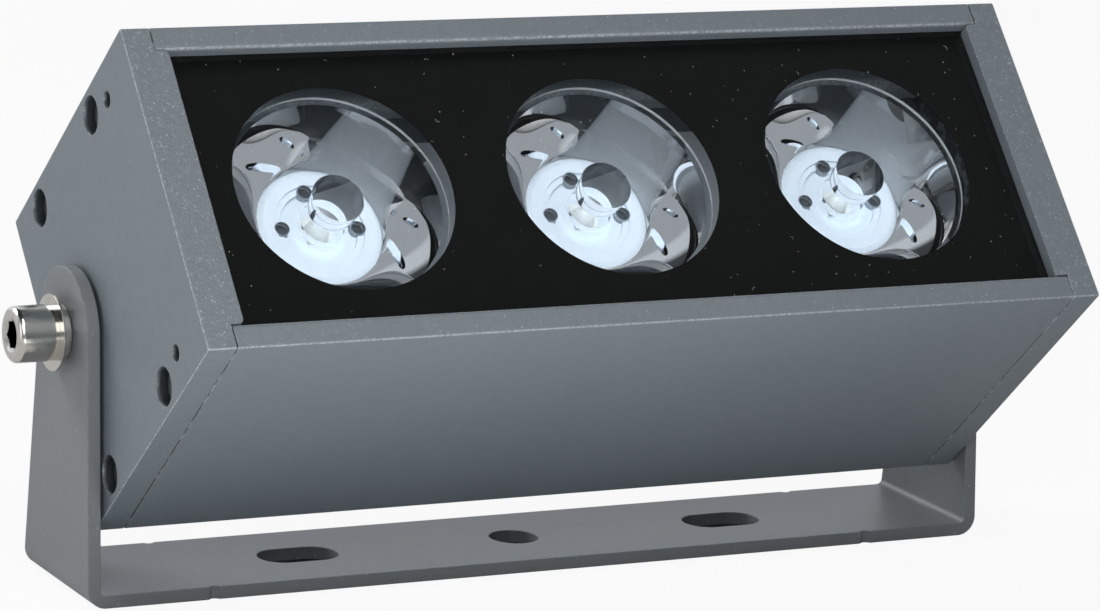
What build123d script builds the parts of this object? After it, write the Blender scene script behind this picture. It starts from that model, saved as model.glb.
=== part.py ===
from build123d import *
from math import sqrt
import os

# LED floodlight: a square extruded lamp head that tilts between the legs of a U-shaped bracket.
# Millimetres. The bracket stands on Z = 0 with its centre hole on the Z axis, X runs along
# the head, and the head shines towards -Y and up.
# The head is drawn untilted: u is its height (Y), n is the way it shines (Z), 0 is the pivot.

# Bracket
BRACKET_WIDTH = 234.0
BRACKET_DEPTH = 40.0
PLATE = 3.0
BEND_RADIUS = 1.5
PIVOT_HEIGHT = 60.0
LEG_TOP_RADIUS = 15.0
BASE_HOLE_D = 12.0
SLOT_WIDTH = 12.0
SLOT_LENGTH = 20.0
SLOT_SPACING = 113.0
NOTCH_RADIUS = 1.5
NOTCH_DEPTH = 0.8
NOTCH_X = 86.0

# Head, tilted back from facing the horizon
TILT = 42.5
SIDE_GAP = 1.0
CAP_THICKNESS = 7.0
HEAD_HEIGHT = 82.0
FRONT_REACH = 62.5
REAR_REACH = 20.0

# Housing profile
WALL = 3.0
LIP_WIDTH = 6.0
LIP_THICKNESS = 3.0
LIP_ROUND = 1.0
RAIL_WIDTH = 5.0
RAIL_THICKNESS = 2.5
WEB_THICKNESS = 6.5
REAR_WALL = 3.0
FIN_HEIGHT = 11.0
FIN_THICKNESS = 1.8
FIN_COUNT = 4
FIN_ROOT_RADIUS = 0.8
LAND_WIDTH = 25.0
CORNER_RADIUS = 1.5
OUTER_ROUND = 0.6
SEAM_EDGE = 0.25
PORT_RADIUS = 4.5

# Front glass and its seal
GLASS_THICKNESS = 5.0
GLASS_CLEARANCE = 0.5
PRINT_THICKNESS = 0.3
GLASS_GASKET = 2.0
WINDOW_D = 52.6

# Optics, on a row just above the middle of the glass
OPTICS_U = 1.1
LENS_PITCH = 67.3
LENS_COUNT = 3
LENS_GAP = 4.2
LENS_D = 53.4
LENS_FLANGE = 2.0
LENS_EDGE = 1.4
LENS_BASE_D = 30.0
LENS_HEIGHT = 21.0
WELL_MOUTH_D = 12.2
WELL_FLOOR_D = 10.8
WELL_DEPTH = 9.5
WELL_DOME = 1.2
CAVITY_D = 10.8
CAVITY_DEPTH = 3.4
CAVITY_DOME = 0.8
FLANK_CURVE = 0.854
FLANK_POINTS = 5
LENS_PIN_D = 3.4
LENS_PIN_R = 9.2
LENS_PIN_ANGLES = (-5.0, 98.0, 180.0)
LENS_PIN_LENGTH = 2.6
PIN_FIT = 0.2
HOLDER_D = 30.0
HOLDER_HEIGHT = 1.5
HOLDER_SLOPE = 0.6
HOLDER_SEAT_D = 26.8
HOLDER_LEDGE_D = 21.4
HOLDER_LEDGE = 0.5
HOLDER_BORE_D = 18.4

# LED board
BOARD_LENGTH = 200.0
BOARD_WIDTH = 56.0
BOARD_THICKNESS = 1.6
PAD_THICKNESS = 0.4
EMITTER_SIZE = 7.0
EMITTER_BASE = 0.8
EMITTER_DOME_D = 5.0
BOARD_SCREW_D = 3.0
BOARD_SCREW_HEAD_D = 5.5
BOARD_SCREW_HEAD = 2.0
BOARD_SCREW_EDGE = 0.6
BOARD_SCREW_REACH = 7.0
BOARD_SCREW_INSET = 5.0

# Driver, leads and connector
DRIVER_LENGTH = 150.0
DRIVER_WIDTH = 52.0
DRIVER_DEPTH = 20.0
DRIVER_X = -20.0
DRIVER_EAR = 10.0
DRIVER_EAR_THICKNESS = 2.0
DRIVER_SCREW_D = 4.0
DRIVER_SCREW_HEAD_D = 7.5
DRIVER_SCREW_HEAD = 2.6
DRIVER_SCREW_REACH = 6.5
LEAD_D = 1.8
LEAD_PITCH = 3.0
LEAD_BEND = 4.5
LEAD_X = 88.0
LEAD_U = 20.0
LEAD_HOLE_D = 9.0
CONNECTOR_LENGTH = 7.0
CONNECTOR_WIDTH = 7.0
CONNECTOR_HEIGHT = 4.5

# End caps and their screws
CAP_BAR = 3.0
CAP_BAR_ROUND = 1.2
CAP_EDGE = 0.45
PORT_FRONT_N = 36.0
PORT_REAR_N = -4.0
PORT_U = 35.0
COUNTERBORE_D = 9.0
COUNTERBORE_DEPTH = 5.2
CAP_SCREW_D = 4.0
CAP_SCREW_HEAD_D = 7.0
CAP_SCREW_HEAD = 2.8
CAP_SCREW_LENGTH = 14.0
CAP_SCREW_KEY = 2.5
CAP_SCREW_KEY_DEPTH = 1.5
ACCESSORY_D = 4.0
ACCESSORY_DEPTH = 5.0
ACCESSORY_N = 46.4
ACCESSORY_U = 32.5
GASKET_THICKNESS = 0.5
GASKET_INSET = 1.0
GASKET_WIDTH = 5.5
PIVOT_BOSS_D = 11.5
PIVOT_BOSS = 2.5
PIVOT_RUNOUT = 0.5

# Pivot hardware
PIVOT_SCREW_D = 8.0
PIVOT_HEAD_D = 13.0
PIVOT_HEAD = 8.0
PIVOT_HEAD_ROUND = 1.3
PIVOT_SCREW_LENGTH = 16.0
PIVOT_KEY = 6.0
PIVOT_KEY_DEPTH = 4.0
PIVOT_KEY_MOUTH_D = 8.1
PIVOT_KEY_MOUTH = 0.6
SPRING_WASHER_D = 12.7
SPRING_WASHER = 1.6
SPRING_SPLIT = 0.8
SPRING_SLANT = 25.0
FLAT_WASHER_D = 17.6
FLAT_WASHER = 0.5
BUSH_FLANGE_D = 12.8
BUSH_FLANGE = 2.5
BUSH_ROUND = 0.4
BUSH_SLEEVE_D = 10.6
GAP_WASHER_D = 20.0

# Cable gland on the rear land
GLAND_X = 85.0
GLAND_THREAD_D = 16.0
GLAND_HEX = 20.0
GLAND_HEX_HEIGHT = 5.0
GLAND_STUB = 8.0
GLAND_WASHER = 1.0
GLAND_NECK_D = 15.0
GLAND_NECK = 5.0
GLAND_BORE_D = 10.0
GLAND_CAP_D = 19.0
GLAND_CAP_HEIGHT = 11.0
GLAND_CAP_ROOF = 2.5
GLAND_CAP_MOUTH_D = 9.0
GLAND_SEAL_D = 14.0
GLAND_SEAL_BORE_D = 7.0
GLAND_CAP_ROUND = 3.0
GLAND_CAP_FLATS = 12
LOCKNUT_HEIGHT = 3.0

# Fits
RUNNING_FIT = 0.05
SCREW_FIT = 0.05
HOLE_FIT = 0.25
BAR_FIT = 0.1

# Levels along the head, worked out from the sizes above
HALF_HEIGHT = HEAD_HEIGHT / 2
HEAD_LENGTH = BRACKET_WIDTH - 2 * PLATE - 2 * SIDE_GAP
HOUSING_LENGTH = HEAD_LENGTH - 2 * CAP_THICKNESS
INNER_U = HALF_HEIGHT - WALL
LIP_U = HALF_HEIGHT - LIP_WIDTH
GLASS_FRONT = FRONT_REACH - LIP_THICKNESS
GLASS_BACK = GLASS_FRONT - GLASS_THICKNESS
RAIL_FRONT = GLASS_BACK - GLASS_GASKET
RAIL_U = INNER_U - RAIL_WIDTH
LENS_FRONT = GLASS_BACK - PRINT_THICKNESS - LENS_GAP
LENS_BASE = LENS_FRONT - LENS_HEIGHT
BOARD_FRONT = LENS_BASE - HOLDER_HEIGHT
WEB_FRONT = BOARD_FRONT - BOARD_THICKNESS - PAD_THICKNESS
WEB_BACK = WEB_FRONT - WEB_THICKNESS
FIN_ROOT = FIN_HEIGHT - REAR_REACH
CHAMBER_REAR = FIN_ROOT + REAR_WALL
LENS_XS = [(i - (LENS_COUNT - 1) / 2) * LENS_PITCH for i in range(LENS_COUNT)]
PORTS = [(u, n) for u in (-PORT_U, PORT_U) for n in (PORT_FRONT_N, PORT_REAR_N)]
CAP_FACE = HEAD_LENGTH / 2
SCREW_HOLE_D = PIVOT_SCREW_D + 2 * HOLE_FIT
LEG_OUTER = -BRACKET_WIDTH / 2
LEG_INNER = LEG_OUTER + PLATE
BUSH_FACE = LEG_OUTER - RUNNING_FIT - BUSH_FLANGE
FLAT_FACE = BUSH_FACE - FLAT_WASHER
SPRING_FACE = FLAT_FACE - SPRING_WASHER
HEAD_FACE = SPRING_FACE - PIVOT_HEAD
PIVOT_TIP = SPRING_FACE + PIVOT_SCREW_LENGTH
DRIVER_FRONT_END = DRIVER_X + DRIVER_LENGTH / 2
CONNECTOR_EDGE = LEAD_U - LEAD_HOLE_D / 2 - 3
GLAND_SEAT = FIN_ROOT - GLAND_WASHER
GLAND_SHOULDER = GLAND_SEAT - GLAND_HEX_HEIGHT


def box(x0, x1, u0, u1, n0, n1):
    """A block between two corners of the untilted head."""
    size = (x1 - x0, u1 - u0, n1 - n0)
    return Pos((x0 + x1) / 2, (u0 + u1) / 2, (n0 + n1) / 2) * Box(*size)


def rect(u0, u1, n0, n1):
    """A rectangle of the head's cross-section, between two corners."""
    return Pos((u0 + u1) / 2, (n0 + n1) / 2) * Rectangle(u1 - u0, n1 - n0)


def rod(diameter, start, end):
    """A cylinder along X from start to end."""
    return Pos((start + end) / 2, 0, 0) * Rot(0, 90, 0) * Cylinder(diameter / 2, abs(end - start))


def post(diameter, bottom, top):
    """A cylinder along the way the head shines."""
    return Pos(0, 0, (bottom + top) / 2) * Cylinder(diameter / 2, abs(top - bottom))


def hex_rod(key, start, end):
    """A hexagonal prism along X, given by its width across flats."""
    section = Plane.YZ.offset(start) * RegularPolygon(key / sqrt(3), 6)
    return extrude(section, amount=end - start)


def across_x(profile, length):
    """A cross-section of the head, extruded evenly to both sides of its middle."""
    return extrude(Plane.YZ * profile, amount=length / 2, both=True)


def turned(points):
    """A solid of revolution about the way the head shines, from radius and level pairs."""
    outline = Polyline(*points, close=True)
    return revolve(make_face(Plane.XZ * outline), Axis.Z)


def outer_block(x0, x1):
    """The head's outside between two places along X, with its long edges rounded."""
    block = box(x0, x1, -HALF_HEIGHT, HALF_HEIGHT, -REAR_REACH, FRONT_REACH)
    return fillet(block.edges().filter_by(Axis.X), OUTER_ROUND)


def solids_of(*shapes):
    """Separate solids kept together as one group."""
    return Compound([solid for shape in shapes for solid in shape.solids()])


def mirrored(shape):
    """The same piece on the right-hand side."""
    return mirror(shape, Plane.YZ)


# Bracket

def bracket():
    half = BRACKET_WIDTH / 2
    top = PIVOT_HEIGHT + LEG_TOP_RADIUS
    outer = Pos(0, top / 2) * Rectangle(BRACKET_WIDTH, top)
    inner = Pos(0, (top + PLATE) / 2) * Rectangle(BRACKET_WIDTH - 2 * PLATE, top - PLATE)
    outer = fillet(outer.vertices().sort_by(Axis.Y)[:2], BEND_RADIUS + PLATE)
    inner = fillet(inner.vertices().sort_by(Axis.Y)[:2], BEND_RADIUS)
    strip = extrude(Plane.XZ * (outer - inner), amount=BRACKET_DEPTH / 2, both=True)
    return strip & leg_outline(half) - base_openings() - leg_holes(half)


def leg_outline(half):
    """Side view of the bracket: a round top whose tangents widen to the full depth at the base."""
    foot = BEND_RADIUS + PLATE
    reach = sqrt((BRACKET_DEPTH / 2) ** 2 + (PIVOT_HEIGHT - foot) ** 2)
    touch_y = tangent_point(BRACKET_DEPTH / 2, PIVOT_HEIGHT - foot, reach)
    outline = make_face(
        [
            Line((-BRACKET_DEPTH / 2, 0), (BRACKET_DEPTH / 2, 0)),
            Line((BRACKET_DEPTH / 2, 0), (BRACKET_DEPTH / 2, foot)),
            Line((BRACKET_DEPTH / 2, foot), touch_y),
            ThreePointArc(touch_y, (0, PIVOT_HEIGHT + LEG_TOP_RADIUS), (-touch_y[0], touch_y[1])),
            Line((-touch_y[0], touch_y[1]), (-BRACKET_DEPTH / 2, foot)),
            Line((-BRACKET_DEPTH / 2, foot), (-BRACKET_DEPTH / 2, 0)),
        ]
    )
    return extrude(Plane.YZ * outline, amount=half, both=True)


def tangent_point(side, drop, reach):
    """Where a line from the foot corner touches the round top of the leg."""
    along = LEG_TOP_RADIUS ** 2 / reach ** 2
    across = LEG_TOP_RADIUS * sqrt(reach ** 2 - LEG_TOP_RADIUS ** 2) / reach ** 2
    y = side * along + drop * across
    z = PIVOT_HEIGHT - drop * along + side * across
    return (y, z)


def base_openings():
    slot = SlotOverall(SLOT_LENGTH, SLOT_WIDTH)
    sketch = Circle(BASE_HOLE_D / 2)
    for side in (-1, 1):
        sketch += Pos(side * SLOT_SPACING / 2, 0) * slot
        for edge in (-1, 1):
            centre = edge * (BRACKET_DEPTH / 2 + NOTCH_RADIUS - NOTCH_DEPTH)
            sketch += Pos(side * NOTCH_X, centre) * Circle(NOTCH_RADIUS)
    return extrude(sketch, amount=PLATE)


def leg_holes(half):
    hole_d = BUSH_SLEEVE_D + 2 * RUNNING_FIT
    return Pos(0, 0, PIVOT_HEIGHT) * rod(hole_d, -half - 1, half + 1)


# Housing

def housing():
    body = outer_block(-HOUSING_LENGTH / 2, HOUSING_LENGTH / 2)
    for end in (0, -1):
        body = chamfer(body.faces().sort_by(Axis.X)[end].edges(), SEAM_EDGE)
    hollows = front_opening() + optic_chamber() + driver_chamber() + fin_gaps()
    for u, n in PORTS:
        hollows += Pos(u, n) * Circle(CAP_SCREW_D / 2 + SCREW_FIT)
    body -= across_x(hollows, HOUSING_LENGTH)
    body -= board_screw_holes() + driver_screw_holes()
    body -= Pos(LEAD_X, LEAD_U, 0) * post(LEAD_HOLE_D, WEB_BACK, WEB_FRONT)
    body -= Pos(GLAND_X, 0, 0) * post(GLAND_THREAD_D + 2 * HOLE_FIT, FIN_ROOT, CHAMBER_REAR)
    return body


def front_opening():
    """The mouth between the lips, rounded at its edges, and the channel that holds the glass."""
    mouth = rect(-LIP_U, LIP_U, GLASS_FRONT, FRONT_REACH)
    flare = rect(-LIP_U - LIP_ROUND, LIP_U + LIP_ROUND, FRONT_REACH - LIP_ROUND, FRONT_REACH)
    for side in (-1, 1):
        flare -= Pos(side * (LIP_U + LIP_ROUND), FRONT_REACH - LIP_ROUND) * Circle(LIP_ROUND)
    channel = rect(-INNER_U, INNER_U, RAIL_FRONT, GLASS_FRONT)
    return mouth + flare + channel


def port_bosses():
    bosses = Sketch()
    for u, n in PORTS:
        bosses += Pos(u, n) * Circle(PORT_RADIUS)
    return bosses


def optic_chamber():
    rail_back = RAIL_FRONT - RAIL_THICKNESS
    window = rect(-RAIL_U, RAIL_U, rail_back, RAIL_FRONT)
    chamber = rect(-INNER_U, INNER_U, WEB_FRONT, rail_back)
    chamber = fillet(chamber.vertices(), CORNER_RADIUS)
    return window + chamber - port_bosses()


def driver_chamber():
    chamber = rect(-INNER_U, INNER_U, CHAMBER_REAR, WEB_BACK)
    return fillet(chamber.vertices(), CORNER_RADIUS) - port_bosses()


def fin_gaps():
    """The wide land in the middle and the gaps between the fins on both sides of it."""
    gaps = rect(-LAND_WIDTH / 2, LAND_WIDTH / 2, -REAR_REACH, FIN_ROOT)
    span = INNER_U - LAND_WIDTH / 2
    gap = span / FIN_COUNT - FIN_THICKNESS
    for side in (-1, 1):
        for i in range(FIN_COUNT):
            near = LAND_WIDTH / 2 + FIN_THICKNESS + i * (gap + FIN_THICKNESS)
            u0, u1 = sorted((side * near, side * (near + gap)))
            gaps += rect(u0, u1, -REAR_REACH, FIN_ROOT)
    roots = [v for v in gaps.vertices() if v.Y > FIN_ROOT - 0.01]
    return fillet(roots, FIN_ROOT_RADIUS)


# End caps

def end_cap():
    """Left end cap, outer face towards -X. A boss inside keeps the pivot thread blind."""
    outer = -CAP_FACE
    inner = outer + CAP_THICKNESS
    plate = outer_block(outer, inner)
    plate = fillet(plate.faces().sort_by(Axis.X)[0].edges(), CAP_EDGE)
    plate = chamfer(plate.faces().sort_by(Axis.X)[-1].edges(), SEAM_EDGE)
    bar_u = LIP_U - BAR_FIT
    bar = box(inner - 2 * SEAM_EDGE, inner + CAP_BAR, -bar_u, bar_u, GLASS_FRONT, FRONT_REACH)
    bar = fillet(bar.edges().filter_by(Axis.Z).sort_by(Axis.X)[-2:], CAP_BAR_ROUND)
    cap = plate + bar
    cap -= Pos(inner - GASKET_THICKNESS, 0, 0) * gasket_plate()
    cap += rod(PIVOT_BOSS_D, inner - GASKET_THICKNESS, inner + PIVOT_BOSS)
    for u, n in PORTS:
        cap -= Pos(0, u, n) * rod(COUNTERBORE_D, outer, outer + COUNTERBORE_DEPTH)
        cap -= Pos(0, u, n) * rod(CAP_SCREW_D + 2 * HOLE_FIT, outer, inner)
    for side in (-1, 1):
        place = Pos(0, side * ACCESSORY_U, ACCESSORY_N)
        cap -= place * rod(ACCESSORY_D, outer, outer + ACCESSORY_DEPTH)
    return cap - rod(PIVOT_SCREW_D + 2 * SCREW_FIT, outer, PIVOT_TIP + PIVOT_RUNOUT)


def gasket_plate():
    """Flat frame round the end of the housing, one gasket thick, starting at X = 0."""
    u1 = HALF_HEIGHT - GASKET_INSET
    n0 = CHAMBER_REAR - REAR_WALL + GASKET_INSET
    n1 = GLASS_FRONT - GLASS_CLEARANCE
    frame = rect(-u1, u1, n0, n1)
    frame -= rect(GASKET_WIDTH - u1, u1 - GASKET_WIDTH, n0 + GASKET_WIDTH, n1 - GASKET_WIDTH)
    for u, n in PORTS:
        frame += Pos(u, n) * Circle(PORT_RADIUS)
    return extrude(Plane.YZ * frame, amount=GASKET_THICKNESS)


def cap_gasket():
    gasket = Pos(-HOUSING_LENGTH / 2 - GASKET_THICKNESS, 0, 0) * gasket_plate()
    for u, n in PORTS:
        gasket -= Pos(0, u, n) * rod(CAP_SCREW_D + 2 * HOLE_FIT, -CAP_FACE, -HOUSING_LENGTH / 2)
    return gasket - rod(PIVOT_BOSS_D + 2 * HOLE_FIT, -CAP_FACE, -HOUSING_LENGTH / 2)


def cap_screws():
    """Socket head screws at the bottom of the counterbores of the left cap."""
    seat = -CAP_FACE + COUNTERBORE_DEPTH
    head = rod(CAP_SCREW_HEAD_D, seat - CAP_SCREW_HEAD, seat)
    top = seat - CAP_SCREW_HEAD
    head -= hex_rod(CAP_SCREW_KEY, top, top + CAP_SCREW_KEY_DEPTH)
    screw = head + rod(CAP_SCREW_D, seat, seat + CAP_SCREW_LENGTH)
    return solids_of(*[Pos(0, u, n) * screw for u, n in PORTS])


# Glass and seal

def glass_size():
    return (HOUSING_LENGTH - 2 * GLASS_CLEARANCE, 2 * (INNER_U - GLASS_CLEARANCE))


def front_glass():
    length, width = glass_size()
    return box(-length / 2, length / 2, -width / 2, width / 2, GLASS_BACK, GLASS_FRONT)


def glass_print():
    """Black layer on the back of the glass, left clear in front of each lens."""
    length, width = glass_size()
    layer = Rectangle(length, width)
    for x in LENS_XS:
        layer -= Pos(x, OPTICS_U) * Circle(WINDOW_D / 2)
    return Pos(0, 0, GLASS_BACK - PRINT_THICKNESS) * extrude(layer, amount=PRINT_THICKNESS)


def glass_gasket():
    length, width = glass_size()
    frame = Rectangle(length, width) - Rectangle(length - 2 * RAIL_WIDTH, 2 * RAIL_U)
    height = GLASS_GASKET - PRINT_THICKNESS
    return Pos(0, 0, RAIL_FRONT) * extrude(frame, amount=height)


# Optics

def flank_point(share):
    """Radius and level of the reflecting flank, from the base at 0 to the flange at 1."""
    base = LENS_BASE_D / 2
    radius = base + (LENS_D / 2 - LENS_EDGE - base) * share ** FLANK_CURVE
    return (radius, LENS_BASE + (LENS_HEIGHT - LENS_FLANGE) * share)


def lens():
    """Collimator: a clear bowl on three pins, with a hollow front well and a cavity over the emitter."""
    flange_back = LENS_FRONT - LENS_FLANGE
    well_floor = LENS_FRONT - WELL_DEPTH
    well_top = well_floor + WELL_DOME
    cavity_roof = LENS_BASE + CAVITY_DEPTH
    cavity_top = cavity_roof - CAVITY_DOME
    rim = LENS_D / 2
    base = LENS_BASE_D / 2
    mouth = WELL_MOUTH_D / 2
    floor = WELL_FLOOR_D / 2
    cavity = CAVITY_D / 2
    flank = [flank_point(1 - i / FLANK_POINTS) for i in range(FLANK_POINTS + 1)]
    outline = [
        Line((0, cavity_top), (0, well_top)),
        TangentArc((0, well_top), (floor, well_floor), tangent=(1, 0)),
        Line((floor, well_floor), (mouth, LENS_FRONT)),
        Line((mouth, LENS_FRONT), (rim, LENS_FRONT)),
        Line((rim, LENS_FRONT), (rim, flange_back)),
        Line((rim, flange_back), flank[0]),
        Spline(*flank),
        Line((base, LENS_BASE), (cavity, LENS_BASE)),
        Line((cavity, LENS_BASE), (cavity, cavity_roof)),
        TangentArc((0, cavity_top), (cavity, cavity_roof), tangent=(1, 0)),
    ]
    bowl = revolve(make_face([Plane.XZ * edge for edge in outline]), Axis.Z)
    return bowl + at_pins(post(LENS_PIN_D, LENS_BASE - LENS_PIN_LENGTH, LENS_BASE))


def at_pins(shape):
    """Three of a shape, where the locating pins of a lens are."""
    return Part() + [Rot(0, 0, angle) * Pos(LENS_PIN_R, 0, 0) * shape for angle in LENS_PIN_ANGLES]


def lens_holder():
    """White stepped ring that seats the lens, notched where its pins pass."""
    ledge = LENS_BASE - HOLDER_LEDGE
    ring = turned(
        [
            (HOLDER_BORE_D / 2, BOARD_FRONT),
            (HOLDER_D / 2, BOARD_FRONT),
            (HOLDER_D / 2, LENS_BASE - HOLDER_SLOPE),
            (HOLDER_SEAT_D / 2, LENS_BASE),
            (HOLDER_LEDGE_D / 2, LENS_BASE),
            (HOLDER_LEDGE_D / 2, ledge),
            (HOLDER_BORE_D / 2, ledge),
        ]
    )
    return ring - at_pins(post(LENS_PIN_D + 2 * PIN_FIT, BOARD_FRONT, LENS_BASE))


# LED board

def board_screw_places():
    us = (BOARD_SCREW_INSET - BOARD_WIDTH / 2, BOARD_WIDTH / 2 - BOARD_SCREW_INSET)
    ends = BOARD_LENGTH / 2 - BOARD_SCREW_INSET
    xs = (-ends, -LENS_PITCH / 2, LENS_PITCH / 2, ends)
    return [(x, u) for x in xs for u in us]


def drilled_plate(length, width, thickness):
    plate = Rectangle(length, width)
    for x, u in board_screw_places():
        plate -= Pos(x, u) * Circle(BOARD_SCREW_D / 2 + HOLE_FIT)
    plate -= Pos(LEAD_X, LEAD_U) * Circle(LEAD_HOLE_D / 2)
    return extrude(plate, amount=thickness)


def thermal_pad():
    return Pos(0, 0, WEB_FRONT) * drilled_plate(BOARD_LENGTH, BOARD_WIDTH, PAD_THICKNESS)


def led_board():
    level = WEB_FRONT + PAD_THICKNESS
    board = Pos(0, 0, level) * drilled_plate(BOARD_LENGTH, BOARD_WIDTH, BOARD_THICKNESS)
    pin_holes = at_pins(post(LENS_PIN_D + 2 * PIN_FIT, level, BOARD_FRONT))
    for x in LENS_XS:
        board -= Pos(x, OPTICS_U, 0) * pin_holes
    return board


def emitters():
    """Square ceramic base with a clear dome, one under each lens."""
    half = EMITTER_SIZE / 2
    top = BOARD_FRONT + EMITTER_BASE
    base = box(-half, half, -half, half, BOARD_FRONT, top)
    dome = Sphere(EMITTER_DOME_D / 2, arc_size1=0, align=(Align.CENTER, Align.CENTER, Align.MIN))
    emitter = base + Pos(0, 0, top) * dome
    return solids_of(*[Pos(x, OPTICS_U, 0) * emitter for x in LENS_XS])


def board_screws():
    """Pan head screws that clamp the board and the pad to the web."""
    head_top = BOARD_FRONT + BOARD_SCREW_HEAD
    head = post(BOARD_SCREW_HEAD_D, BOARD_FRONT, head_top)
    head = chamfer(head.edges().sort_by(Axis.Z)[-1], BOARD_SCREW_EDGE)
    screw = head + post(BOARD_SCREW_D, BOARD_FRONT - BOARD_SCREW_REACH, BOARD_FRONT)
    return solids_of(*[Pos(x, u, 0) * screw for x, u in board_screw_places()])


def board_screw_holes():
    hole = post(BOARD_SCREW_D + 2 * SCREW_FIT, BOARD_FRONT - BOARD_SCREW_REACH, WEB_FRONT)
    holes = Part()
    for x, u in board_screw_places():
        holes += Pos(x, u, 0) * hole
    return holes


# Driver, leads and connector

def driver_screw_places():
    reach = DRIVER_LENGTH / 2 + DRIVER_EAR / 2
    return [(DRIVER_X - reach, 0), (DRIVER_X + reach, 0)]


def led_driver():
    """Potted block against the back of the web, with a fixing ear at each end."""
    x0, x1 = DRIVER_X - DRIVER_LENGTH / 2, DRIVER_X + DRIVER_LENGTH / 2
    half = DRIVER_WIDTH / 2
    body = box(x0, x1, -half, half, WEB_BACK - DRIVER_DEPTH, WEB_BACK)
    body = fillet(body.edges().filter_by(Axis.Z), 3)
    ear_n = WEB_BACK - DRIVER_EAR_THICKNESS
    body += box(x0 - DRIVER_EAR, x1 + DRIVER_EAR, -half / 2, half / 2, ear_n, WEB_BACK)
    for x, u in driver_screw_places():
        body -= Pos(x, u, 0) * post(DRIVER_SCREW_D + 2 * HOLE_FIT, ear_n, WEB_BACK)
    return body


def driver_screws():
    seat = WEB_BACK - DRIVER_EAR_THICKNESS
    head = post(DRIVER_SCREW_HEAD_D, seat - DRIVER_SCREW_HEAD, seat)
    screw = head + post(DRIVER_SCREW_D, seat, seat + DRIVER_SCREW_REACH)
    return solids_of(*[Pos(x, u, 0) * screw for x, u in driver_screw_places()])


def driver_screw_holes():
    tip = WEB_BACK - DRIVER_EAR_THICKNESS + DRIVER_SCREW_REACH
    holes = Part()
    for x, u in driver_screw_places():
        holes += Pos(x, u, 0) * post(DRIVER_SCREW_D + 2 * SCREW_FIT, WEB_BACK, tip)
    return holes


def connector_block():
    x0, x1 = LEAD_X - CONNECTOR_WIDTH / 2, LEAD_X + CONNECTOR_WIDTH / 2
    top = BOARD_FRONT + CONNECTOR_HEIGHT
    return box(x0, x1, CONNECTOR_EDGE - CONNECTOR_LENGTH, CONNECTOR_EDGE, BOARD_FRONT, top)


def board_leads():
    """Two leads from the end of the driver, up through the web and back down to the connector."""
    low = WEB_BACK - DRIVER_DEPTH / 2
    high = BOARD_FRONT + CONNECTOR_HEIGHT / 2
    leads = []
    for side in (-0.5, 0.5):
        x = LEAD_X + side * LEAD_PITCH
        u = LEAD_U + side * LEAD_PITCH
        start = (DRIVER_FRONT_END, u, low)
        path = FilletPolyline(start, (x, u, low), (x, u, high), (x, CONNECTOR_EDGE, high), radius=LEAD_BEND)
        leads.append(sweep(Plane(start, z_dir=(1, 0, 0)) * Circle(LEAD_D / 2), path=path))
    return solids_of(*leads)


# Cable gland, drawn along -n from the rear land

def gland_body():
    tip = GLAND_SHOULDER - GLAND_NECK
    hexagon = extrude(RegularPolygon(GLAND_HEX / sqrt(3), 6), amount=GLAND_HEX_HEIGHT)
    body = Pos(0, 0, GLAND_SHOULDER) * hexagon
    body += post(GLAND_THREAD_D, GLAND_SEAT, FIN_ROOT + GLAND_STUB)
    body += post(GLAND_NECK_D, tip, GLAND_SHOULDER)
    body -= post(GLAND_BORE_D, tip, FIN_ROOT + GLAND_STUB)
    return Pos(GLAND_X, 0, 0) * body


def gland_washer():
    ring = post(GLAND_HEX, GLAND_SEAT, FIN_ROOT)
    ring -= post(GLAND_THREAD_D + 2 * SCREW_FIT, GLAND_SEAT, FIN_ROOT)
    return Pos(GLAND_X, 0, 0) * ring


def gland_locknut():
    nut = extrude(RegularPolygon(GLAND_HEX / sqrt(3), 6), amount=LOCKNUT_HEIGHT)
    nut -= post(GLAND_THREAD_D + 2 * SCREW_FIT, 0, LOCKNUT_HEIGHT)
    return Pos(GLAND_X, 0, CHAMBER_REAR) * nut


def gland_seal():
    """Rubber sleeve held between the neck and the roof of the cap."""
    top = GLAND_SHOULDER - GLAND_NECK
    bottom = GLAND_SHOULDER - GLAND_CAP_HEIGHT + GLAND_CAP_ROOF
    tail = GLAND_BORE_D - 2 * SCREW_FIT
    seal = post(GLAND_SEAL_D, bottom, top) + post(tail, top, top + GLAND_NECK / 2)
    seal -= post(GLAND_SEAL_BORE_D, bottom, top + GLAND_NECK / 2)
    return Pos(GLAND_X, 0, 0) * seal


def gland_cap():
    """Domed cap nut with flats, screwed over the neck."""
    top = GLAND_SHOULDER
    bottom = top - GLAND_CAP_HEIGHT
    cap = post(GLAND_CAP_D, bottom, top)
    cap = fillet(cap.edges().sort_by(Axis.Z)[0], GLAND_CAP_ROUND)
    flats = extrude(RegularPolygon(GLAND_CAP_D / 2, GLAND_CAP_FLATS), amount=GLAND_CAP_HEIGHT)
    cap = cap & Pos(0, 0, bottom) * flats
    cap -= post(GLAND_NECK_D + 2 * SCREW_FIT, bottom + GLAND_CAP_ROOF, top)
    cap -= post(GLAND_CAP_MOUTH_D, bottom, top)
    return Pos(GLAND_X, 0, 0) * cap


# Pivot hardware, left side, outwards from the end cap

def washer(outer_d, inner_d, start, end):
    return rod(outer_d, start, end) - rod(inner_d, start, end)


def gap_washer():
    return washer(GAP_WASHER_D, SCREW_HOLE_D, LEG_INNER + RUNNING_FIT, -CAP_FACE)


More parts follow.
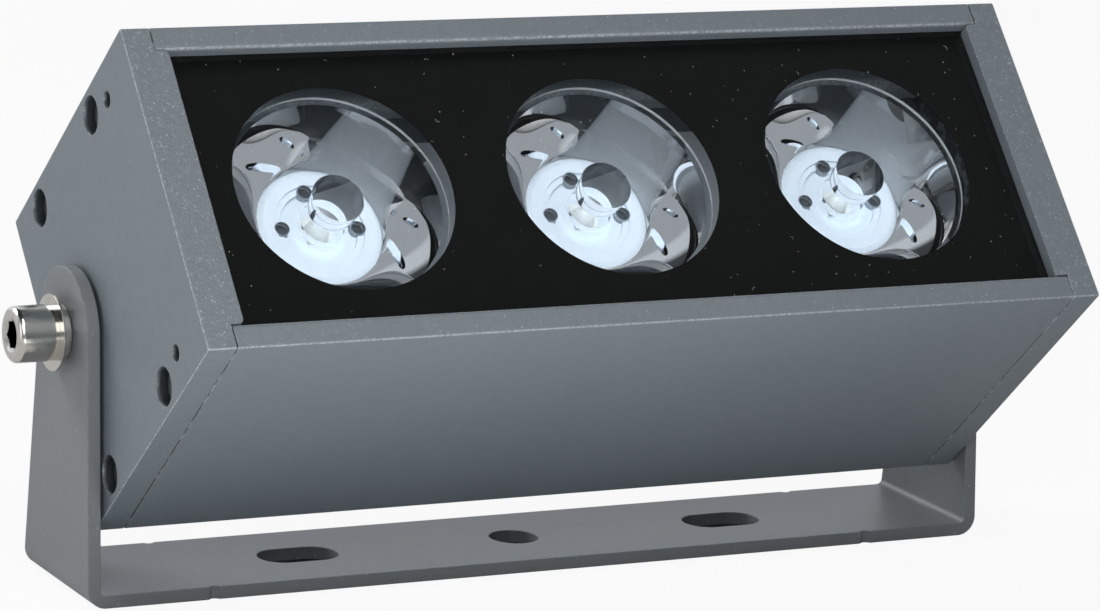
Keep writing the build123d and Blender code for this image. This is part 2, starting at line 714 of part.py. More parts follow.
def pivot_bush():
    """Flanged sleeve that lines the hole in the leg, so that the leg turns on it."""
    inner_end = LEG_INNER + RUNNING_FIT
    sleeve = washer(BUSH_SLEEVE_D, SCREW_HOLE_D, BUSH_FACE, inner_end)
    flange = rod(BUSH_FLANGE_D, BUSH_FACE, BUSH_FACE + BUSH_FLANGE)
    flange = fillet(flange.edges().filter_by(GeomType.CIRCLE), BUSH_ROUND)
    return sleeve + (flange - rod(SCREW_HOLE_D, BUSH_FACE, inner_end))


def flat_washer():
    return washer(FLAT_WASHER_D, SCREW_HOLE_D, FLAT_FACE, BUSH_FACE)


def spring_washer():
    """Split ring with its slanted slit at the back."""
    ring = washer(SPRING_WASHER_D, SCREW_HOLE_D, SPRING_FACE, FLAT_FACE)
    slit = Box(3 * SPRING_WASHER, SPRING_SPLIT, SPRING_WASHER_D)
    middle = (SPRING_FACE + FLAT_FACE) / 2
    return ring - Pos(middle, 0, -SPRING_WASHER_D / 2) * Rot(0, 0, SPRING_SLANT) * slit


def pivot_screw():
    head = rod(PIVOT_HEAD_D, HEAD_FACE, SPRING_FACE)
    head = fillet(head.edges().sort_by(Axis.X)[0], PIVOT_HEAD_ROUND)
    head -= hex_rod(PIVOT_KEY, HEAD_FACE, HEAD_FACE + PIVOT_KEY_DEPTH)
    mouth = Cone(PIVOT_KEY_MOUTH_D / 2, PIVOT_KEY / 2, PIVOT_KEY_MOUTH)
    head -= Pos(HEAD_FACE + PIVOT_KEY_MOUTH / 2, 0, 0) * Rot(0, 90, 0) * mouth
    return head + rod(PIVOT_SCREW_D, SPRING_FACE, SPRING_FACE + PIVOT_SCREW_LENGTH)


def main():
    os.makedirs("parts", exist_ok=True)
    left = {
        "end_cap": end_cap(),
        "cap_gasket": cap_gasket(),
        "cap_screws": cap_screws(),
        "pivot_screw": pivot_screw(),
        "spring_washer": spring_washer(),
        "flat_washer": flat_washer(),
        "pivot_bush": pivot_bush(),
        "gap_washer": gap_washer(),
    }
    head = {
        "housing": housing(),
        "front_glass": front_glass(),
        "glass_print": glass_print(),
        "glass_gasket": glass_gasket(),
        "thermal_pad": thermal_pad(),
        "led_board": led_board(),
        "led_emitters": emitters(),
        "board_screws": board_screws(),
        "board_connector": connector_block(),
        "board_leads": board_leads(),
        "led_driver": led_driver(),
        "driver_screws": driver_screws(),
        "gland_body": gland_body(),
        "gland_washer": gland_washer(),
        "gland_locknut": gland_locknut(),
        "gland_seal": gland_seal(),
        "gland_cap": gland_cap(),
    }
    for i, x in enumerate(LENS_XS, 1):
        head[f"lens_{i}"] = Pos(x, OPTICS_U, 0) * lens()
        head[f"lens_holder_{i}"] = Pos(x, OPTICS_U, 0) * lens_holder()
    for name, shape in left.items():
        head[f"{name}_left"] = shape
        head[f"{name}_right"] = mirrored(shape)
    tilt = Pos(0, 0, PIVOT_HEIGHT) * Rot(90 - TILT, 0, 0)
    export_step(bracket(), "parts/bracket.step")
    for name, shape in head.items():
        export_step(tilt * shape, f"parts/{name}.step")


main()
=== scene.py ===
import math

import bmesh
import bpy
from mathutils import Matrix, Vector


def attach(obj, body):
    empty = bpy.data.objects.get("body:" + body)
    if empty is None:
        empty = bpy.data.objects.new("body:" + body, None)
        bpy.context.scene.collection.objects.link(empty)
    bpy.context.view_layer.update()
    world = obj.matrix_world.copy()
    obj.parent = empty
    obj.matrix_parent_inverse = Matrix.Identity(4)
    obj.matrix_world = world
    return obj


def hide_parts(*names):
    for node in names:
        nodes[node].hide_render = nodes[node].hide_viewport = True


# LED floodlight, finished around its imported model. Sizes are in millimetres.
# The head is worked on untilted: x along it, u its height, n the way it shines, 0 at the pivot.
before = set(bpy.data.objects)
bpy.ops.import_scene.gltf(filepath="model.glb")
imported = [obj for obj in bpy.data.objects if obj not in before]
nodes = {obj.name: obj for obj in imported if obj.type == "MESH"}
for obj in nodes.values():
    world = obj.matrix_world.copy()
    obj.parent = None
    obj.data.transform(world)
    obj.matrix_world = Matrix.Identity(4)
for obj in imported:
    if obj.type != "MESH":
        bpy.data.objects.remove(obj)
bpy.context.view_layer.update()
print("frame loaded:", len(nodes), "nodes")

mm = 0.001
pivotHeight = 60
tiltBack = math.radians(42.5)
headTurn = Matrix.Translation((0, 0, pivotHeight * mm)) @ Matrix.Rotation(math.pi / 2 - tiltBack, 4, "X")
shineWay = (0, -math.cos(tiltBack), math.sin(tiltBack))
headUp = (0, math.sin(tiltBack), math.cos(tiltBack))
lengthWay = (1, 0, 0)
bevelSamples = 4


def feed(tree, socket, value):
    if isinstance(value, bpy.types.NodeSocket):
        tree.links.new(value, socket)
    elif isinstance(value, tuple) and socket.type == "RGBA":
        socket.default_value = (*value, 1)
    else:
        socket.default_value = value


def addNode(tree, kind, inputs=None, **settings):
    node = tree.nodes.new(kind)
    for name, value in settings.items():
        setattr(node, name, value)
    for name, value in (inputs or {}).items():
        feed(tree, node.inputs[name], value)
    return node


def maths(tree, operation, first, *others):
    # one value alone, or each further value joined to the result in turn
    if not others:
        return addNode(tree, "ShaderNodeMath", {0: first}, operation=operation).outputs[0]
    for other in others:
        first = addNode(tree, "ShaderNodeMath", {0: first, 1: other}, operation=operation).outputs[0]
    return first


def stretch(tree, value, low, high, toLow=0.0, toHigh=1.0):
    # a value between low and high, spread softly from toLow to toHigh
    ends = {"Value": value, "From Min": low, "From Max": high, "To Min": toLow, "To Max": toHigh}
    return addNode(tree, "ShaderNodeMapRange", ends, interpolation_type="SMOOTHSTEP").outputs["Result"]


def sway(tree, value, amount):
    # a value from 0 to 1 made to swing around zero
    return maths(tree, "MULTIPLY", maths(tree, "SUBTRACT", value, 0.5), amount)


def mixColour(tree, share, a, b, blend="MIX"):
    inputs = {0: share, 6: a, 7: b}
    return addNode(tree, "ShaderNodeMix", inputs, data_type="RGBA", blend_type=blend).outputs[2]


def noise(tree, vector, **inputs):
    return addNode(tree, "ShaderNodeTexNoise", {"Vector": vector, **inputs}).outputs["Fac"]


def dotWith(tree, vector, way):
    return addNode(tree, "ShaderNodeVectorMath", {0: vector, 1: way}, operation="DOT_PRODUCT").outputs["Value"]


def splitVector(tree, vector):
    return addNode(tree, "ShaderNodeSeparateXYZ", {"Vector": vector}).outputs


def rounded(tree, radius):
    return addNode(tree, "ShaderNodeBevel", {"Radius": radius}, samples=bevelSamples).outputs["Normal"]


def newGroup(name, inputs, outputs):
    group = bpy.data.node_groups.new(name, "ShaderNodeTree")
    for label, value in inputs.items():
        kind = "NodeSocketVector" if value is None else "NodeSocketFloat"
        socket = group.interface.new_socket(label, in_out="INPUT", socket_type=kind)
        if value is not None:
            socket.default_value = value
    for label in outputs:
        kind = "NodeSocketVector" if label == "Normal" else "NodeSocketFloat"
        group.interface.new_socket(label, in_out="OUTPUT", socket_type=kind)
    return group, group.nodes.new("NodeGroupInput").outputs, group.nodes.new("NodeGroupOutput").inputs


def useGroup(tree, group, vector, **values):
    return addNode(tree, "ShaderNodeGroup", {"Vector": vector, **values}, node_tree=group).outputs


def newMaterial(name, roughness, **settings):
    material = bpy.data.materials.new(name)
    material.use_nodes = True
    tree = material.node_tree
    shader = tree.nodes["Principled BSDF"]
    shader.inputs["Roughness"].default_value = roughness
    for key, value in settings.items():
        shader.inputs[key.replace("_", " ")].default_value = value
    return material, tree, shader, addNode(tree, "ShaderNodeTexCoord").outputs


def addRelief(tree, shader, height, strength, depth, normal=None):
    inputs = {"Height": height, "Strength": strength, "Distance": depth * mm}
    if normal is not None:
        inputs["Normal"] = normal
    feed(tree, shader.inputs["Normal"], addNode(tree, "ShaderNodeBump", inputs).outputs["Normal"])


def showMixed(tree, share, first, second):
    both = addNode(tree, "ShaderNodeMixShader", {0: share, 1: first, 2: second})
    feed(tree, tree.nodes["Material Output"].inputs["Surface"], both.outputs["Shader"])


# Powder coating: an orange-peel relief, with painted glints on its crests and painted sparkle specks that lighten its
# colour.
coatShape = {
    "peel": {"Detail": 2.0, "Roughness": 0.55},
    "fine": {"Scale": 2600.0, "Detail": 2.0}, "fineShare": 0.45,
    "cloud": {"Scale": 14.0, "Detail": 4.0, "Roughness": 0.6},
    "even": {"Scale": 420.0, "Detail": 2.0}, "evenShare": 0.12,
    "crest": {"Scale": 1150.0, "Detail": 1.5, "Distortion": 0.6}, "crestWidth": 0.02,
    "patch": {"Scale": 900.0, "Detail": 1.0}, "patchRange": (0.52, 0.62),
    "speckRange": (0.24, 0.06),
}


def makeCoatGrain(s):
    group, start, end = newGroup(
        "coatGrain",
        {"Vector": None, "Peel": 900.0, "Glints": 0.5, "Specks": 0.5, "Cells": 800.0, "Share": 0.1, "Cloud": 0.1},
        ["Height", "Tone", "Glint"],
    )
    vector = start["Vector"]
    peel = noise(group, vector, Scale=start["Peel"], **s["peel"])
    fine = maths(group, "MULTIPLY", noise(group, vector, **s["fine"]), s["fineShare"])
    feed(group, end["Height"], maths(group, "ADD", peel, fine))
    cloud = sway(group, noise(group, vector, **s["cloud"]), start["Cloud"])
    even = sway(group, noise(group, vector, **s["even"]), s["evenShare"])
    feed(group, end["Tone"], maths(group, "ADD", cloud, even, 1.0))
    crest = maths(group, "ABSOLUTE", maths(group, "SUBTRACT", noise(group, vector, **s["crest"]), 0.5))
    patch = stretch(group, noise(group, vector, **s["patch"]), *s["patchRange"])
    streak = maths(group, "MULTIPLY", stretch(group, crest, s["crestWidth"], 0.0), patch, start["Glints"])
    cell = addNode(group, "ShaderNodeTexVoronoi", {"Vector": vector, "Scale": start["Cells"]}).outputs
    pick = addNode(group, "ShaderNodeTexWhiteNoise", {"Vector": cell["Position"]}).outputs["Value"]
    chosen = maths(group, "LESS_THAN", pick, start["Share"])
    # painted sparkle specks, joined to the painted glints
    spot = stretch(group, cell["Distance"], *s["speckRange"])
    spot = maths(group, "MULTIPLY", spot, chosen, start["Specks"])
    feed(group, end["Glint"], maths(group, "MAXIMUM", streak, spot))
    return group


# The lighter line along an edge, partly worn where a coating thins over it and partly a painted highlight, and the
# edge's rounded normal.
wearAndHighlightShape = {
    "turn": (0.02, 0.28), "chipTurn": (0.4, 0.8),
    "ragged": {"Scale": 700.0, "Detail": 3.0, "Roughness": 0.7}, "raggedRange": (0.35, 0.75),
    "rare": {"Scale": 150.0, "Detail": 4.0, "Roughness": 0.75}, "rareRange": (0.68, 0.72),
}


def makeEdgeWear(s):
    group, start, end = newGroup(
        "edgeWear", {"Vector": None, "Radius": 0.5 * mm, "Wear": 0.5}, ["Normal", "Mask", "Chip"])
    normal = rounded(group, start["Radius"])
    own = addNode(group, "ShaderNodeNewGeometry").outputs["Normal"]
    turn = stretch(group, maths(group, "SUBTRACT", 1.0, dotWith(group, normal, own)), *s["turn"])
    ragged = stretch(group, noise(group, start["Vector"], **s["ragged"]), *s["raggedRange"])
    feed(group, end["Mask"], maths(group, "MULTIPLY", turn, ragged, start["Wear"]))
    rare = stretch(group, noise(group, start["Vector"], **s["rare"]), *s["rareRange"])
    feed(group, end["Chip"], maths(group, "MULTIPLY", rare, stretch(group, turn, *s["chipTurn"])))
    feed(group, end["Normal"], normal)
    return group


# Fine rings left by a lathe on metal that was turned about X, and the smudges over them.
latheShape = {
    "rings": {"Scale": 1.0, "Detail": 3.0, "Roughness": 0.7}, "ringTone": (0.3, 0.7, 0.86, 1.06),
    "smudge": {"Scale": 260.0, "Detail": 4.0, "Roughness": 0.65},
}


def makeLatheMarks(s):
    group, start, end = newGroup(
        "latheMarks", {"Vector": None, "Pitch": 0.12 * mm, "Depth": 1.0}, ["Height", "Tone", "Smudge", "Radius"])
    axes = splitVector(group, start["Vector"])
    squares = (maths(group, "POWER", maths(group, "ABSOLUTE", axes[axis]), 2.0) for axis in "YZ")
    radius = maths(group, "SQRT", maths(group, "ADD", *squares))
    feed(group, end["Radius"], radius)
    along = maths(group, "DIVIDE", maths(group, "ADD", axes["X"], radius), start["Pitch"])
    place = addNode(group, "ShaderNodeCombineXYZ", {"X": along}).outputs["Vector"]
    rings = noise(group, place, **s["rings"])
    feed(group, end["Height"], maths(group, "MULTIPLY", rings, start["Depth"]))
    feed(group, end["Tone"], stretch(group, rings, *s["ringTone"]))
    feed(group, end["Smudge"], noise(group, start["Vector"], **s["smudge"]))
    return group


# The grain of a moulded or cast surface.
mouldShape = {
    "pits": {"Detail": 3.0, "Roughness": 0.6}, "pitShare": 0.2,
    "mottle": {"Scale": 70.0, "Detail": 4.0, "Roughness": 0.6},
}


def makeMouldGrain(s):
    group, start, end = newGroup("mouldGrain", {"Vector": None, "Size": 1200.0, "Mottle": 0.15}, ["Height", "Tone"])
    pits = noise(group, start["Vector"], Scale=start["Size"], **s["pits"])
    feed(group, end["Height"], pits)
    mottle = sway(group, noise(group, start["Vector"], **s["mottle"]), start["Mottle"])
    feed(group, end["Tone"], maths(group, "ADD", mottle, sway(group, pits, s["pitShare"]), 1.0))
    return group


# Dust that settles on what faces up, in patches.
settleShape = {
    "upward": (0.2, 1.0),
    "patch": {"Scale": 45.0, "Detail": 5.0, "Roughness": 0.65}, "patchRange": (0.3, 0.8),
    "fine": {"Scale": 1900.0, "Detail": 2.0}, "fineRange": (0.35, 0.7),
}


def makeSettledDust(s):
    group, start, end = newGroup("settledDust", {"Vector": None, "Amount": 0.2}, ["Mask"])
    up = splitVector(group, addNode(group, "ShaderNodeNewGeometry").outputs["Normal"])["Z"]
    patch = stretch(group, noise(group, start["Vector"], **s["patch"]), *s["patchRange"])
    fine = stretch(group, noise(group, start["Vector"], **s["fine"]), *s["fineRange"])
    mask = maths(group, "MULTIPLY", stretch(group, up, *s["upward"]), patch, fine, start["Amount"])
    feed(group, end["Mask"], mask)
    return group


coatGrain = makeCoatGrain(coatShape)
edgeWear = makeEdgeWear(wearAndHighlightShape)
latheMarks = makeLatheMarks(latheShape)
mouldGrain = makeMouldGrain(mouldShape)
settledDust = makeSettledDust(settleShape)
print("shared effects made")


# Painted shade in the joint between the housing and each end cap, and in the part of a cap's side that its holes are
# in.
seamShadeLook = {
    "at": 106.0, "width": 0.28, "core": 0.3, "shade": 0.2, "frontFrom": 0.9,
    "noise": {"Scale": 260.0, "Detail": 2.0}, "breaks": (0.36, 0.5),
}
capHoleShade = {"middle": 21.0, "reach": 40.0, "face": 113.0, "fade": 1.2, "sideBelow": 0.5, "shade": 0.22}
coating = {
    "peel": 1500.0, "specks": 0.8, "dust": 0.1, "dustColour": (0.5, 0.5, 0.49), "frontTurn": (0.3, 0.8),
    "glintGloss": 0.2, "cornerTurn": (0.97, 0.8), "cornerNoise": {"Scale": 1400.0, "Detail": 2.0},
    "cornerRange": (0.38, 0.62, 0.25, 1.0),
}
housingPaint = {
    **coating, "colour": (0.165, 0.195, 0.22), "glint": (0.5, 0.55, 0.59), "wornAndHighlight": (0.5, 0.55, 0.58),
    "metal": (0.7, 0.7, 0.68), "glints": 0.35, "speckCells": 950.0, "speckShare": 0.08, "cloud": 0.1,
    "roughness": 0.46, "edge": 0.45, "wearAndHighlight": 0.65, "corner": 0.6, "relief": 0.6, "calm": 0.2, "depth": 0.16,
    "seamShade": seamShadeLook,
}
capPaint = {
    **housingPaint, "glints": 0.9, "specks": 0.95, "speckShare": 0.24, "corner": 0.85, "relief": 1.0,
    "holes": capHoleShade,
}
bracketPaint = {
    **coating, "colour": (0.185, 0.198, 0.21), "glint": (0.42, 0.45, 0.47), "wornAndHighlight": (0.42, 0.46, 0.48),
    "metal": (0.6, 0.6, 0.59), "glints": 0.15, "speckCells": 800.0, "speckShare": 0.06, "cloud": 0.12,
    "roughness": 0.43, "edge": 0.5, "wearAndHighlight": 1.0, "corner": 0, "relief": 0.3, "calm": 1.0, "depth": 0.12,
}


def shaded(colour, shade):
    return tuple(part * shade for part in colour)


def seamShadeMask(tree, s, vector, across, front):
    # painted shade in the joint, in a broken line that stops short of the front
    off = maths(tree, "ABSOLUTE", maths(tree, "SUBTRACT", across, s["at"] * mm))
    line = stretch(tree, off, s["width"] * mm, s["core"] * s["width"] * mm)
    broken = stretch(tree, noise(tree, vector, **s["noise"]), *s["breaks"])
    return maths(tree, "MULTIPLY", line, broken, maths(tree, "LESS_THAN", front, s["frontFrom"]))


def holeShadeMask(tree, s, vector, across, side):
    # painted shade inside the holes of the end caps, darker the deeper in
    lift = pivotHeight * mm
    up = maths(tree, "SUBTRACT", dotWith(tree, vector, headUp), lift * headUp[2])
    out = maths(tree, "SUBTRACT", dotWith(tree, vector, shineWay), lift * shineWay[2])
    off = maths(tree, "SUBTRACT", out, s["middle"] * mm)
    near = (maths(tree, "LESS_THAN", maths(tree, "ABSOLUTE", way), s["reach"] * mm) for way in (up, off))
    inward = maths(tree, "LESS_THAN", side, s["sideBelow"])
    deep = stretch(tree, across, s["face"] * mm, (s["face"] - s["fade"]) * mm)
    return maths(tree, "MULTIPLY", *near, inward, deep)


def makePaint(name, s):
    material, tree, shader, place = newMaterial(name, s["roughness"])
    vector, normal = place["Object"], place["Normal"]
    grain = useGroup(tree, coatGrain, vector, Peel=s["peel"], Glints=s["glints"], Specks=s["specks"],
                     Cells=s["speckCells"], Share=s["speckShare"], Cloud=s["cloud"])
    wearAndHighlight = useGroup(tree, edgeWear, vector, Radius=s["edge"] * mm, Wear=s["wearAndHighlight"])
    dust = useGroup(tree, settledDust, vector, Amount=s["dust"])
    # the coating's relief and its painted glints are strongest on the faces turned to the front, and calmer on the
    # others
    front = dotWith(tree, normal, shineWay)
    rough = stretch(tree, front, *s["frontTurn"], s["calm"], 1.0)
    glint = maths(tree, "MULTIPLY", grain["Glint"], rough)
    colour = mixColour(tree, 1.0, s["colour"], grain["Tone"], "MULTIPLY")
    # painted highlight: the glints and sparkle specks lighten the colour
    colour = mixColour(tree, glint, colour, s["glint"])
    colour = mixColour(tree, dust["Mask"], colour, s["dustColour"])
    across = maths(tree, "ABSOLUTE", splitVector(tree, vector)["X"])
    side = maths(tree, "ABSOLUTE", dotWith(tree, normal, lengthWay))
    wornAndHighlight = wearAndHighlight["Mask"]
    if s["corner"]:  # the rounded edges of the head are turned away from all three of its directions
        high = maths(tree, "ABSOLUTE", dotWith(tree, normal, headUp))
        most = maths(tree, "MAXIMUM", maths(tree, "ABSOLUTE", front), side, high)
        ragged = stretch(tree, noise(tree, vector, **s["cornerNoise"]), *s["cornerRange"])
        corner = maths(tree, "MULTIPLY", stretch(tree, most, *s["cornerTurn"]), s["corner"], ragged)
        wornAndHighlight = maths(tree, "MAXIMUM", wornAndHighlight, corner)
    # the lighter colour on edges and rounded corners is partly wear and partly a painted highlight
    colour = mixColour(tree, wornAndHighlight, colour, s["wornAndHighlight"])
    colour = mixColour(tree, wearAndHighlight["Chip"], colour, s["metal"])
    if "seamShade" in s:
        # painted shade: the joint is darkened in the colour
        mask = seamShadeMask(tree, s["seamShade"], vector, across, front)
        colour = mixColour(tree, mask, colour, shaded(s["colour"], s["seamShade"]["shade"]))
    if "holes" in s:
        # painted shade: the holes' walls are darkened in the colour
        mask = holeShadeMask(tree, s["holes"], vector, across, side)
        colour = mixColour(tree, mask, colour, shaded(s["colour"], s["holes"]["shade"]))
    feed(tree, shader.inputs["Base Color"], colour)
    gloss = stretch(tree, glint, 0.0, 1.0, s["roughness"], s["roughness"] - s["glintGloss"])
    feed(tree, shader.inputs["Roughness"], gloss)
    height = maths(tree, "MULTIPLY", grain["Height"], rough)
    addRelief(tree, shader, height, s["relief"], s["depth"], wearAndHighlight["Normal"])
    return material


turnedSteel = {
    "smudgeRange": (0.45, 0.8), "roughRange": (0.35, 0.75), "roughRise": 0.16, "depth": 0.02, "pitch": 0.12,
    "relief": 0.2, "edge": 0.12,
}
steels = {
    "polishedSteel": {
        **turnedSteel, "colour": (0.6, 0.585, 0.545), "dull": (0.38, 0.37, 0.345), "smudge": 0.5, "roughness": 0.11,
        "pitch": 0.16, "relief": 0.12,
        "socket": {"radius": 3.6, "face": 129.5, "fade": 1.3, "colour": (0.07, 0.068, 0.058)},
    },
    "satinSteel": {
        **turnedSteel, "colour": (0.56, 0.55, 0.53), "dull": (0.36, 0.36, 0.35), "smudge": 0.5, "roughness": 0.3,
    },
    "smallSteel": {
        **turnedSteel, "colour": (0.3, 0.3, 0.3), "dull": (0.16, 0.16, 0.16), "smudge": 0.6, "roughness": 0.34,
        "edge": 0.1,
    },
}


def makeSteel(name, s):
    material, tree, shader, place = newMaterial(name, s["roughness"], Metallic=1.0)
    pivot = (0, 0, -pivotHeight * mm)
    vector = addNode(tree, "ShaderNodeMapping", {"Vector": place["Object"], "Location": pivot}).outputs["Vector"]
    marks = useGroup(tree, latheMarks, vector, Pitch=s["pitch"] * mm)
    colour = mixColour(tree, 1.0, s["colour"], marks["Tone"], "MULTIPLY")
    smudge = stretch(tree, marks["Smudge"], *s["smudgeRange"], 0.0, s["smudge"])
    colour = mixColour(tree, smudge, colour, s["dull"])
    if "socket" in s:  # painted shade: the screw's socket is darkened in its colour, more the deeper in
        # painted shade in the socket recess
        socket = s["socket"]
        inside = maths(tree, "LESS_THAN", marks["Radius"], socket["radius"] * mm)
        across = maths(tree, "ABSOLUTE", splitVector(tree, vector)["X"])
        deep = stretch(tree, across, socket["face"] * mm, (socket["face"] - socket["fade"]) * mm)
        colour = mixColour(tree, maths(tree, "MULTIPLY", inside, deep), colour, socket["colour"])
    feed(tree, shader.inputs["Base Color"], colour)
    rough = stretch(tree, marks["Smudge"], *s["roughRange"], s["roughness"], s["roughness"] + s["roughRise"])
    feed(tree, shader.inputs["Roughness"], rough)
    addRelief(tree, shader, marks["Height"], s["relief"], s["depth"], rounded(tree, s["edge"] * mm))
    return material


# What a moulded piece has unless its own line says otherwise.
moulded = {"shine": 0.5, "edge": 0.15, "depth": 0.06, "roughRange": (0.3, 0.7), "smoother": 0.06, "rougher": 0.08}
moulds = {
    # ink on the back of the glass, with no air between them to reflect
    "blackPrint": {"colour": (0.008, 0.0085, 0.008), "roughness": 0.5, "size": 900.0, "mottle": 0.3, "relief": 0.02,
                   "shine": 0.03},
    "sealRubber": {"colour": (0.014, 0.014, 0.014), "roughness": 0.62, "size": 1500.0, "mottle": 0.4, "relief": 0.3},
    "thermalPad": {"colour": (0.05, 0.055, 0.06), "roughness": 0.8, "size": 1100.0, "mottle": 0.3, "relief": 0.3},
    "boardWhite": {"colour": (0.8, 0.85, 0.9), "roughness": 0.35, "size": 1400.0, "mottle": 0.05, "relief": 0.06},
    "holderWhite": {"colour": (0.82, 0.87, 0.92), "roughness": 0.38, "size": 1200.0, "mottle": 0.05, "relief": 0.08},
    "emitterCeramic": {"colour": (0.85, 0.85, 0.8), "roughness": 0.3, "size": 1600.0, "mottle": 0.08, "relief": 0.05},
    "leadWhite": {"colour": (0.72, 0.74, 0.75), "roughness": 0.42, "size": 1300.0, "mottle": 0.2, "relief": 0.1},
    "driverBlack": {"colour": (0.022, 0.022, 0.024), "roughness": 0.55, "size": 600.0, "mottle": 0.4, "relief": 0.4},
    "glandBlack": {"colour": (0.016, 0.016, 0.017), "roughness": 0.46, "size": 1400.0, "mottle": 0.3, "relief": 0.22},
    "nylonGrey": {"colour": (0.05, 0.05, 0.05), "roughness": 0.5, "size": 1400.0, "mottle": 0.25, "relief": 0.2},
    "dustPale": {"colour": (0.82, 0.82, 0.8), "roughness": 0.9, "size": 900.0, "mottle": 0.3, "relief": 0.1, "edge": 0},
}


def makeMoulded(name, s):
    material, tree, shader, place = newMaterial(name, s["roughness"], Specular_IOR_Level=s["shine"])
    grain = useGroup(tree, mouldGrain, place["Object"], Size=s["size"], Mottle=s["mottle"])
    feed(tree, shader.inputs["Base Color"], mixColour(tree, 1.0, s["colour"], grain["Tone"], "MULTIPLY"))
    ends = s["roughness"] - s["smoother"], s["roughness"] + s["rougher"]
    feed(tree, shader.inputs["Roughness"], stretch(tree, grain["Height"], *s["roughRange"], *ends))
    normal = rounded(tree, s["edge"] * mm) if s["edge"] else None
    addRelief(tree, shader, grain["Height"], s["relief"], s["depth"], normal)
    return material


# Glass and lens plastic let the lamps through, so what lies behind them is lit.
clearFilm = {"noise": {"Scale": 35.0, "Detail": 3.0}, "range": (0.3, 0.75)}
lensPlastic = {"ior": 1.49, "colour": (0.95, 0.975, 1.0), "film": (0.935, 0.965, 0.99)}
clears = {
    "clearGlass": {"ior": 1.5, "colour": (1, 1, 1), "film": (0.985, 0.99, 0.985), "through": (0.955, 0.96, 0.96)},
    # a lens gathers light on what lies under it, so it lets more through than falls on it
    "clearLens": {**lensPlastic, "through": (1.2, 1.26, 1.32)},
    # its flank turns most of the light to the base of the lens, so little of it comes out through the flank
    "lensFlank": {**lensPlastic, "through": (0.2, 0.2, 0.2)},
}


def makeClear(name, s):
    material, tree, shader, place = newMaterial(name, 0.0, Transmission_Weight=1.0, IOR=s["ior"])
    film = stretch(tree, noise(tree, place["Object"], **clearFilm["noise"]), *clearFilm["range"])
    feed(tree, shader.inputs["Base Color"], mixColour(tree, film, s["colour"], s["film"]))
    rays = addNode(tree, "ShaderNodeLightPath").outputs
    through = addNode(tree, "ShaderNodeBsdfTransparent", {"Color": s["through"]}).outputs["BSDF"]
    showMixed(tree, rays["Is Shadow Ray"], shader.outputs["BSDF"], through)
    return material


# The lens flange's side wall is left as moulded, so it glows where the rest is clear.
rimLook = {
    "colour": (0.93, 0.96, 1.0), "roughness": 0.45, "ior": 1.49, "through": 0.45, "size": 1500.0, "mottle": 0.1,
    "relief": 0.2, "depth": 0.05,
}


def makeFrostedRim(name, s):
    material, tree, shader, place = newMaterial(
        name, s["roughness"], Transmission_Weight=s["through"], IOR=s["ior"])
    grain = useGroup(tree, mouldGrain, place["Object"], Size=s["size"], Mottle=s["mottle"])
    feed(tree, shader.inputs["Base Color"], mixColour(tree, 1.0, s["colour"], grain["Tone"], "MULTIPLY"))
    addRelief(tree, shader, grain["Height"], s["relief"], s["depth"])
    return material


finish = {name: makeSteel(name, s) for name, s in steels.items()}
finish.update({name: makeMoulded(name, {**moulded, **s}) for name, s in moulds.items()})
finish.update({name: makeClear(name, s) for name, s in clears.items()})
finish["capCoating"] = makePaint("capCoating", capPaint)
finish["housingCoating"] = makePaint("housingCoating", housingPaint)
finish["bracketCoating"] = makePaint("bracketCoating", bracketPaint)
finish["frostedRim"] = makeFrostedRim("frostedRim", rimLook)
print("materials made:", len(finish))

nodeFinish = {
    "bracket": "bracketCoating",
    "housing": "housingCoating", "end_cap": "capCoating",
    "front_glass": "clearGlass", "glass_print": "blackPrint", "glass_gasket": "sealRubber", "cap_gasket": "sealRubber",
    "thermal_pad": "thermalPad", "led_board": "boardWhite", "led_emitters": "emitterCeramic", "lens": "clearLens",
    "lens_holder": "holderWhite", "board_screws": "satinSteel", "board_connector": "holderWhite",
    "board_leads": "leadWhite", "led_driver": "driverBlack", "driver_screws": "satinSteel", "cap_screws": "smallSteel",
    "gland": "glandBlack", "gland_washer": "sealRubber", "gland_seal": "sealRubber",
    "pivot_screw": "polishedSteel", "spring_washer": "polishedSteel", "flat_washer": "polishedSteel",
    "pivot_bush": "satinSteel", "gap_washer": "nylonGrey",
}
for name, node in nodes.items():
    key = max((k for k in nodeFinish if name.startswith(k)), key=len)
    node.data.materials.clear()
    node.data.materials.append(finish[nodeFinish[key]])
print("nodes finished")


def link(name, data):
    added = bpy.data.objects.new(name, data)
    bpy.context.scene.collection.objects.link(added)
    return added


def newPiece(name, mesh, slot, *replaced):
    piece = link(name, mesh)
    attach(piece, "lamp_head")
    if replaced:
        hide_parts(*replaced)
    return piece


# Bonded ink has no air under it, so its layer starts just inside the glass.
inkShape = {"sunk": 0.02}


def makeInk(s):
    mesh = nodes["glass_print"].data.copy()
    mesh.name = "inkLayer"
    mesh.transform(Matrix.Translation(Vector(shineWay) * s["sunk"] * mm))
    return newPiece("inkLayer", mesh, "black_print", "glass_print")


makeInk(inkShape)
print("ink made")


def evaluated(source):
    view = bpy.context.evaluated_depsgraph_get()
    return bpy.data.meshes.new_from_object(source.evaluated_get(view), depsgraph=view)


def runTree(source, tree, values):
    # the plain mesh that a Geometry Nodes tree makes of an object
    holder = source.modifiers.new(tree.name, "NODES")
    holder.node_group = tree
    sockets = {item.name: item.identifier for item in tree.interface.items_tree if item.item_type == "SOCKET"}
    for name, value in values.items():
        holder[sockets[name]] = value
    return evaluated(source)


def newTree(name, inputs):
    tree = bpy.data.node_groups.new(name, "GeometryNodeTree")
    tree.interface.new_socket("Geometry", in_out="OUTPUT", socket_type="NodeSocketGeometry")
    tree.interface.new_socket("Geometry", in_out="INPUT", socket_type="NodeSocketGeometry")
    for label, kind in inputs.items():
        tree.interface.new_socket(label, in_out="INPUT", socket_type="NodeSocket" + kind)
    return tree, tree.nodes.new("NodeGroupInput").outputs, tree.nodes.new("NodeGroupOutput").inputs


